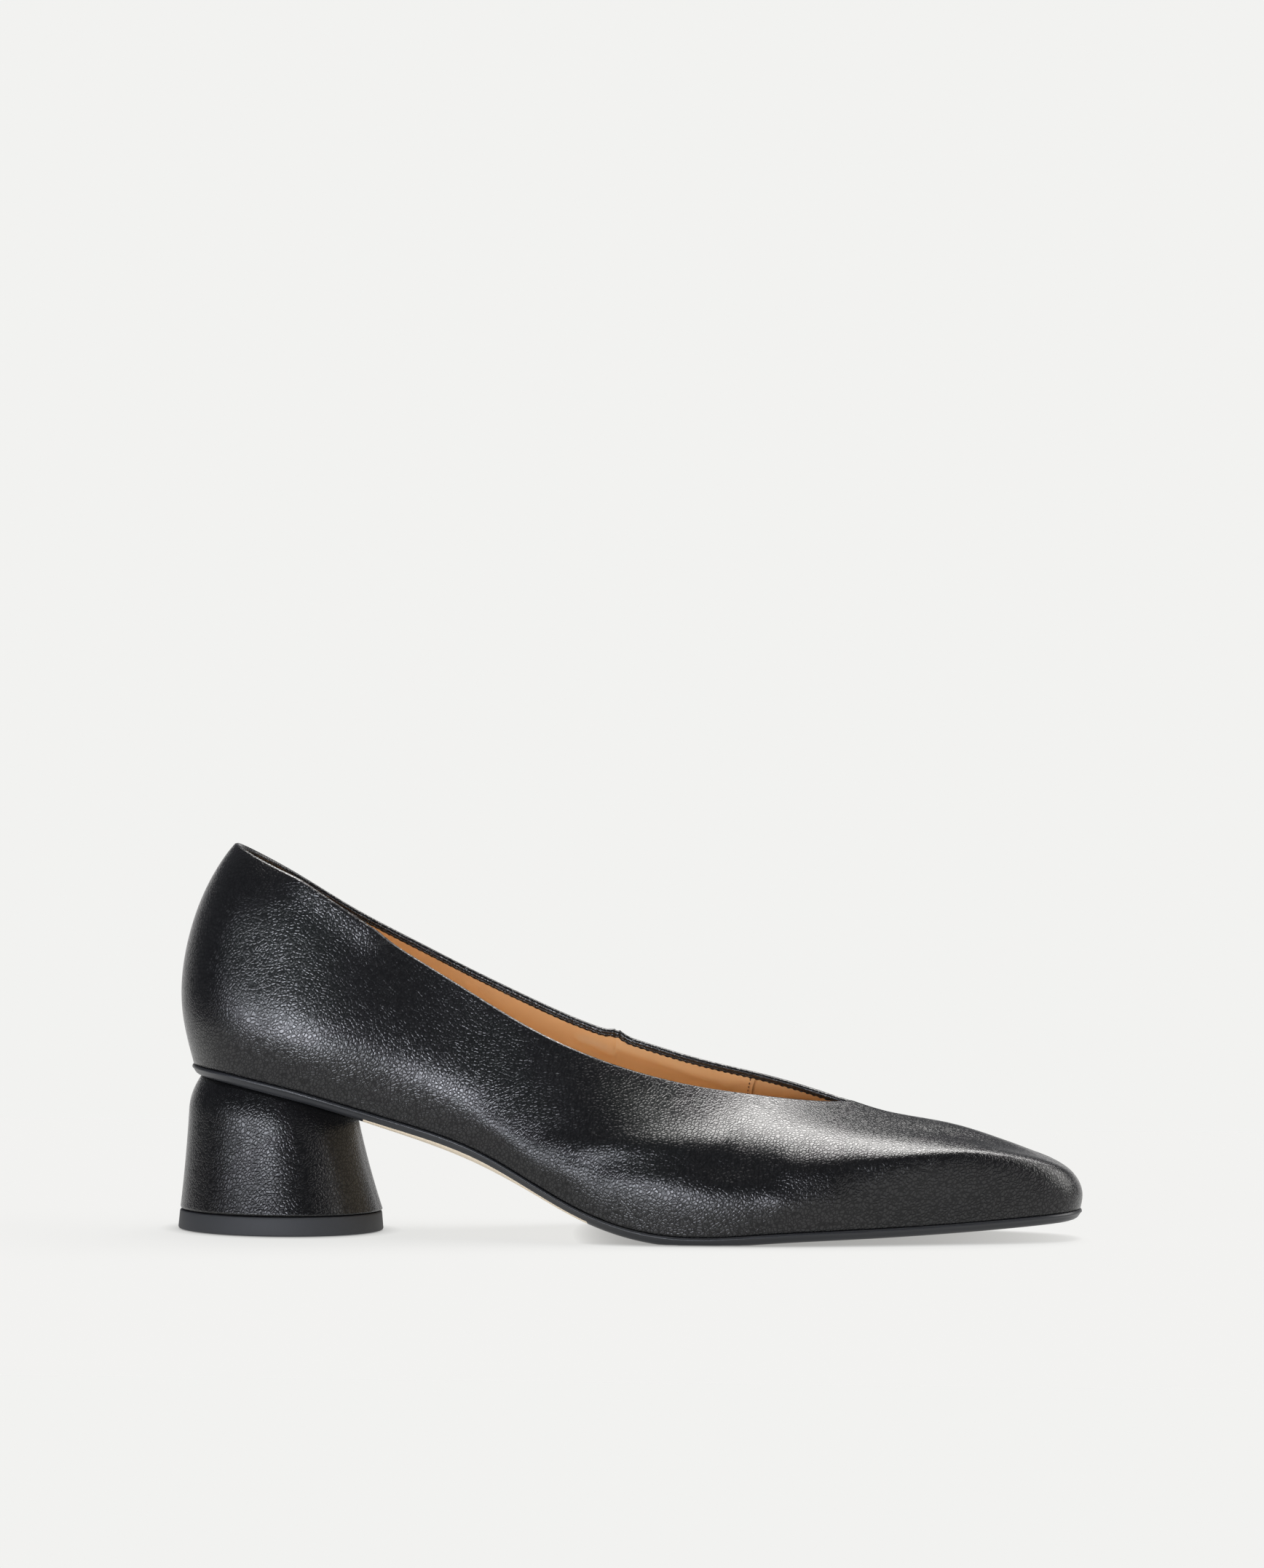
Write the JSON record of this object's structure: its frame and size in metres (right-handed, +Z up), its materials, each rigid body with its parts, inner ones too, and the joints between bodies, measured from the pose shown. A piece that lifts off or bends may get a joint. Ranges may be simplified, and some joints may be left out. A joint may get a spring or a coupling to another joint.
{
  "type": "heeled shoe",
  "caption": "Lined leather pump for the right foot with a V throat, a chisel toe, a thin leather sole and a covered block heel that flares to the floor.",
  "frame": {"origin": "on the floor, under the middle of the shoe's box", "axes": "+X from the heel to the toe, +Y to the medial (inner) side, +Z up from the floor"},
  "size_m": [0.2483, 0.0805, 0.1061],
  "materials": {
    "black_leather": "pebbled, semi-gloss",
    "tan_leather": "smooth, satin",
    "sole_leather": "smooth, black edge over a natural underside",
    "heel_leather": "pebbled, semi-gloss",
    "black_rubber": "matte"
  },
  "bodies": {
    "root": {"upper": "black_leather", "insole": "tan_leather", "outsole": "sole_leather", "heel": "heel_leather", "heel_top_piece": "black_rubber"}
  },
  "joints": []
}
